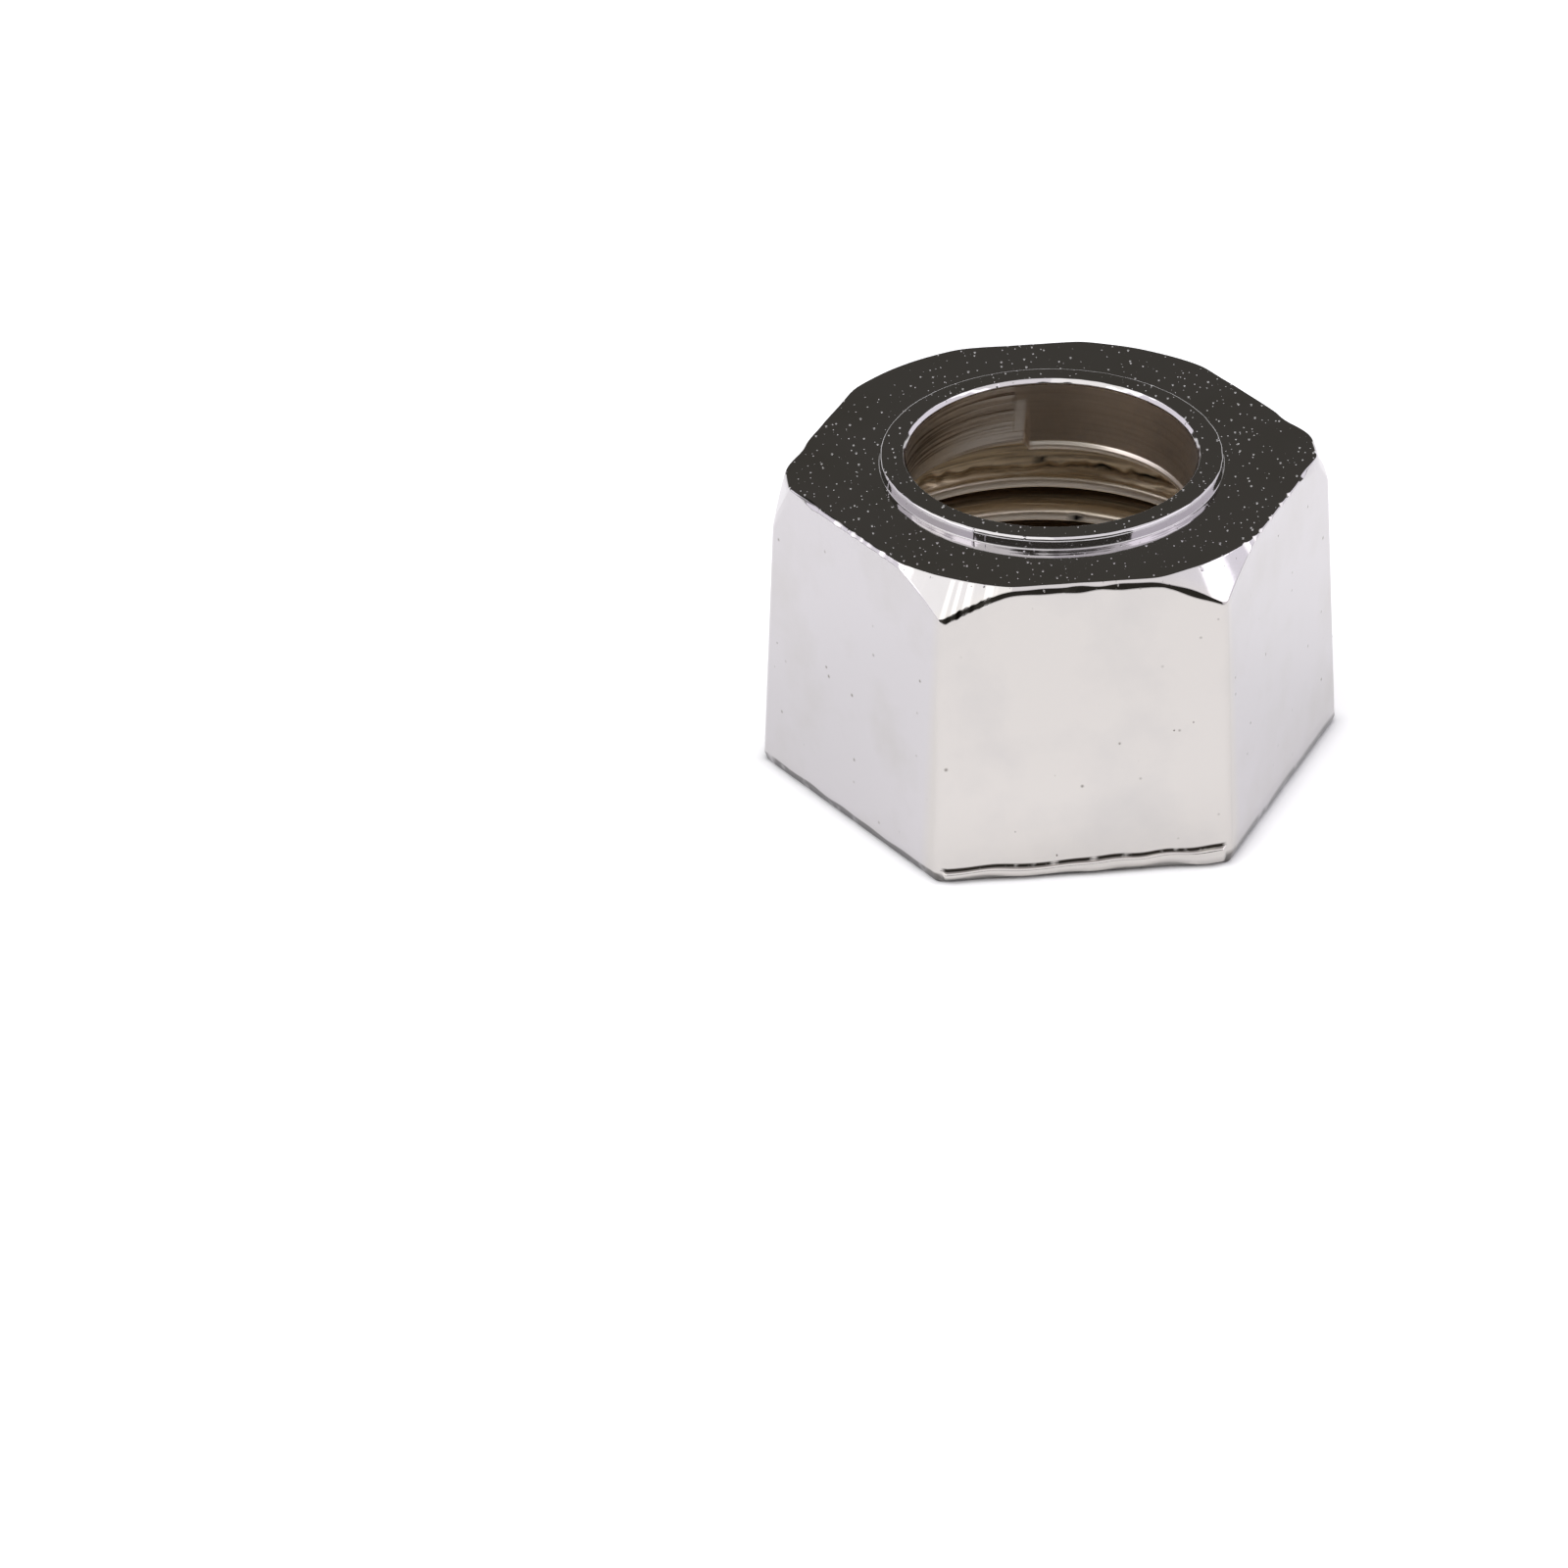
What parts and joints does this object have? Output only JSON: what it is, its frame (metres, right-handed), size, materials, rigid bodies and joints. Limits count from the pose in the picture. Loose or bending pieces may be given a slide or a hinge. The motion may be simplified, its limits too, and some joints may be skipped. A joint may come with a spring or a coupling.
{
  "type": "faucet shank nut",
  "caption": "Plated hexagon coupling nut with leaning flats, bevelled corners, a raised collar round a tail hole in its roof and a straight pipe thread inside.",
  "frame": {"origin": "centre of the nut's base plane, on the thread's axis", "axes": "+Z along the thread's axis, from the open threaded end up to the roof; -Y towards the flat that carries the flash"},
  "size_m": [0.027, 0.0238, 0.0155],
  "materials": {
    "plated_brass": "bright plating over a hot forged brass blank, with fine nodules on top"
  },
  "bodies": {
    "root": {"nut": "plated_brass"}
  },
  "joints": []
}
